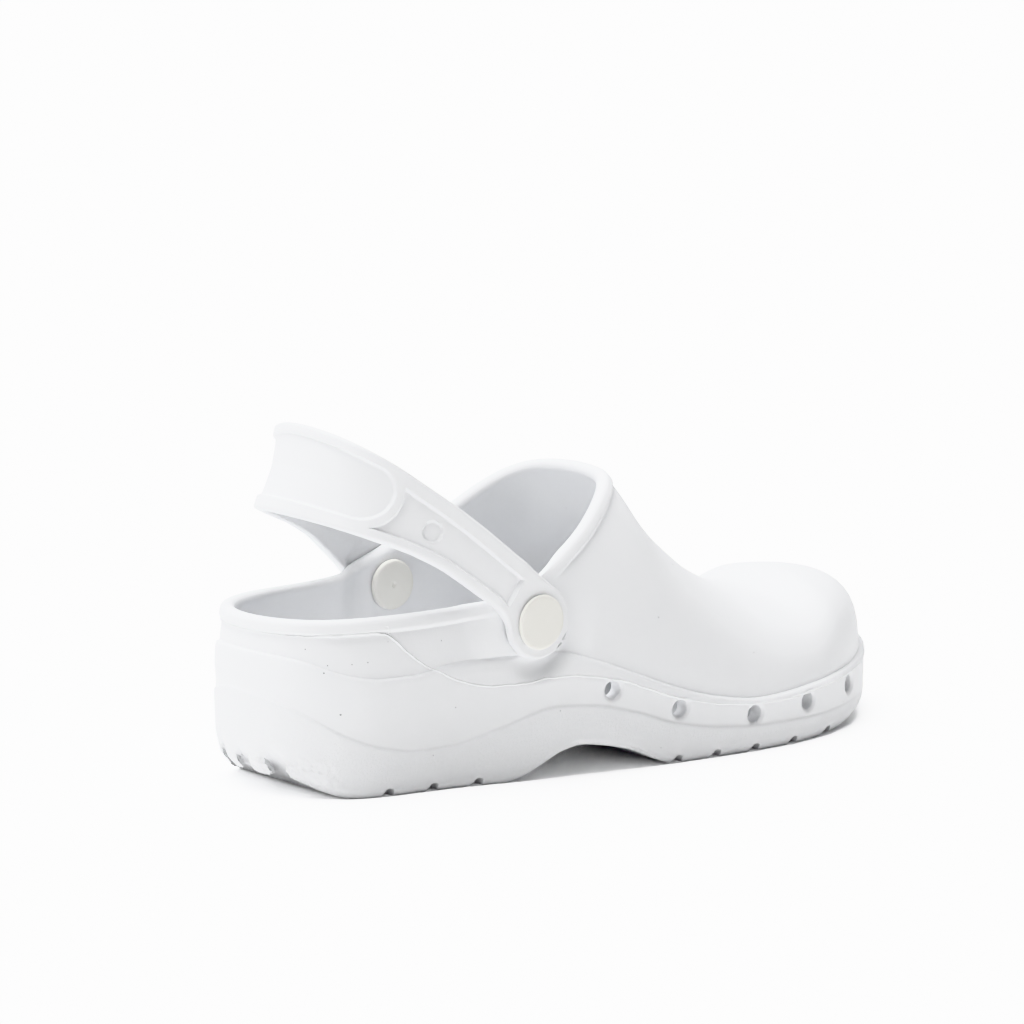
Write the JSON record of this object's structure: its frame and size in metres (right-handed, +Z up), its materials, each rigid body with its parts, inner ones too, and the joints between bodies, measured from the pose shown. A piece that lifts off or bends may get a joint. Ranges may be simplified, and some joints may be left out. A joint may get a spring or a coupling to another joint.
{
  "type": "medical clog",
  "caption": "Closed-toe moulded clog for the right foot, with side vents, an open back, a loose insole and a heel strap standing up on its rivets.",
  "frame": {"origin": "on the ground under the middle of a lug of the heel, on the middle plane of the heel", "axes": "+X towards the toe, +Y towards the inner side of the foot, +Z up"},
  "size_m": [0.283, 0.1023, 0.1234],
  "materials": {
    "foam": "matte moulded foam",
    "insole_foam": "matte moulded foam",
    "rivet": "satin"
  },
  "bodies": {
    "root": {"clog_shell": "foam", "heel_strap": "foam", "insole": "insole_foam", "rivet_lateral": "rivet", "rivet_medial": "rivet", "button_lateral": "rivet", "button_medial": "rivet"}
  },
  "joints": []
}
